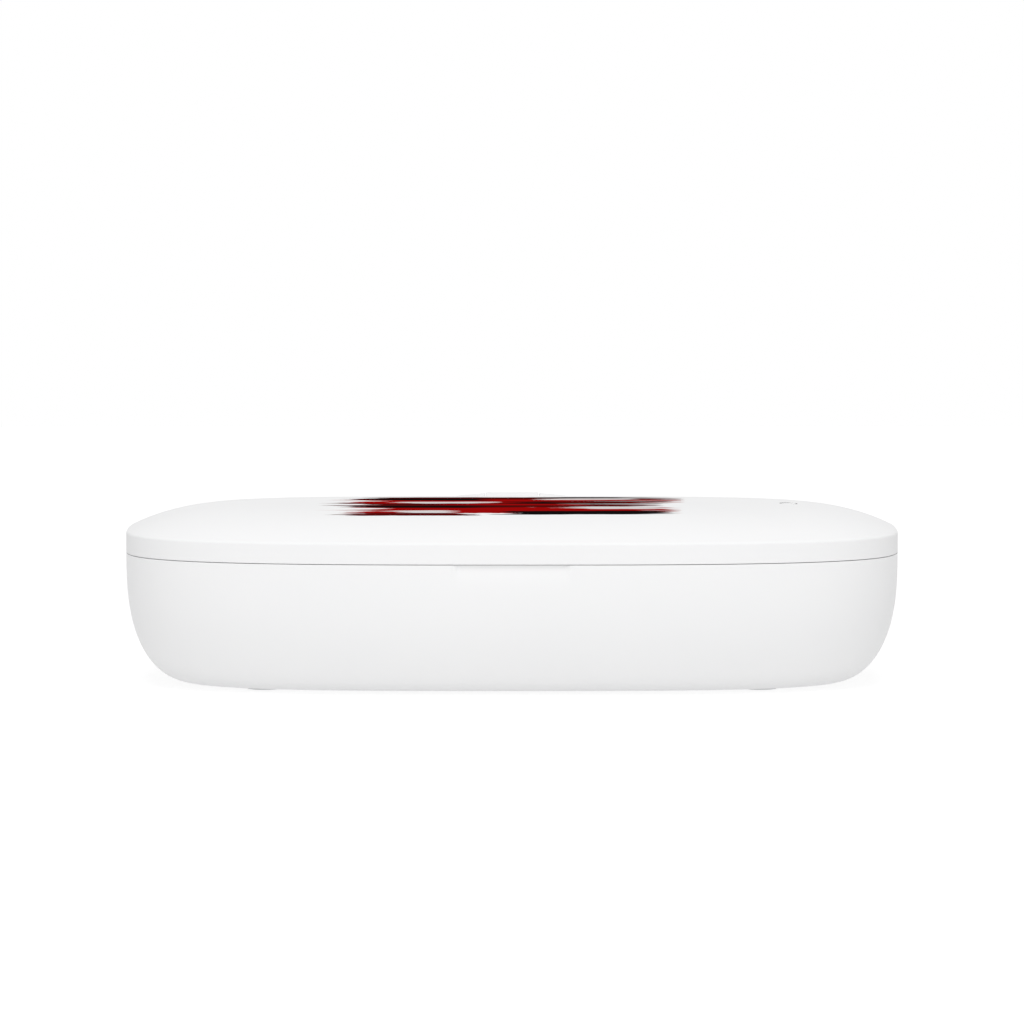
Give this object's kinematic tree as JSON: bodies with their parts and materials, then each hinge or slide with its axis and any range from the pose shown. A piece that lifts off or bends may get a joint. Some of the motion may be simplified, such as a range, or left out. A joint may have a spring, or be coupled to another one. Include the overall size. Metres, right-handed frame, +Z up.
{
  "type": "uv sanitizer box for phones",
  "caption": "Low rounded case with a hinged crowned lid over a reflective chamber, ultraviolet lamps above and below, a charging coil in the lid and a press button.",
  "frame": {"origin": "centre of the box's footprint, hinge barrel included, on the plane its feet stand on", "axes": "+Z up, +X to the user's right along the case's length, -Y to the front with the finger recess, +Y to the hinge"},
  "size_m": [0.22, 0.1247, 0.0508],
  "materials": {
    "case_white": "satin white moulded plastic",
    "lid_white": "satin white moulded plastic with a printed design on its top",
    "button_white": "satin white",
    "reflective_plastic": "metallised plastic, softly mirrored",
    "mirror_sheet": "polished aluminium sheet",
    "clear_plastic": "clear moulded plastic",
    "quartz": "polished",
    "lamp_package": "gold plated ceramic package",
    "white_board": "white solder mask on aluminium",
    "green_board": "green solder mask",
    "chip_black": "moulded black",
    "ferrite_grey": "sintered, matt",
    "capacitor_tan": "matt",
    "ivory_plastic": "matt",
    "screw_steel": "zinc plated",
    "socket_steel": "drawn sheet",
    "seal_rubber": "soft silicone, matt",
    "foot_rubber": "matt",
    "magnet_nickel": "nickel plated",
    "cable_black": "matt",
    "wire_red": "matt",
    "copper_wire": "enamelled copper",
    "light_blue": "diffused"
  },
  "bodies": {
    "base": {"base_shell": "case_white", "chamber_tray": "reflective_plastic", "reflector_plate": "mirror_sheet", "phone_rests": "clear_plastic", "floor_windows": "quartz", "floor_leds": "lamp_package", "floor_led_boards": "white_board", "main_board": "green_board", "controller_chip": "chip_black", "power_inductor": "ferrite_grey", "capacitors": "capacitor_tan", "board_connectors": "ivory_plastic", "board_screws": "screw_steel", "usb_board": "green_board", "usb_c_port": "socket_steel", "usb_c_tongue": "chip_black", "chamber_seal": "seal_rubber", "rim_bumpers": "seal_rubber", "base_magnets": "magnet_nickel", "hall_sensor": "chip_black", "rubber_feet": "foot_rubber", "base_screws": "screw_steel", "hinge_bracket": "case_white", "hinge_bracket_screws": "screw_steel", "base_cable": "cable_black", "base_wires": "wire_red"},
    "lid": {"lid_shell": "lid_white", "lid_liner": "reflective_plastic", "lid_windows": "quartz", "lid_leds": "lamp_package", "lid_led_boards": "white_board", "charging_coil": "copper_wire", "ferrite_sheet": "ferrite_grey", "coil_carrier": "ivory_plastic", "charging_board": "green_board", "charging_chips": "chip_black", "button_board": "green_board", "tact_switch": "chip_black", "status_led": "light_blue", "lid_magnets": "magnet_nickel", "lid_screws": "screw_steel", "hinge_pin": "screw_steel", "hinge_bush": "screw_steel", "lid_cable": "cable_black", "lid_wires": "wire_red"},
    "button": {"start_button": "button_white", "switch_plunger": "chip_black"}
  },
  "joints": [
    {"name": "lid_hinge", "type": "hinge", "parent": "base", "child": "lid", "pos_m": [0, 0.05815, 0.0454], "axis": [-1, 0, 0], "range_deg": [0, 100]},
    {"name": "button_press", "type": "slide", "parent": "lid", "child": "button", "axis": [0, 0, -1], "range_m": [0, 0.0004], "stiffness_N_per_m": 2500, "springref_m": -0.0002}
  ]
}
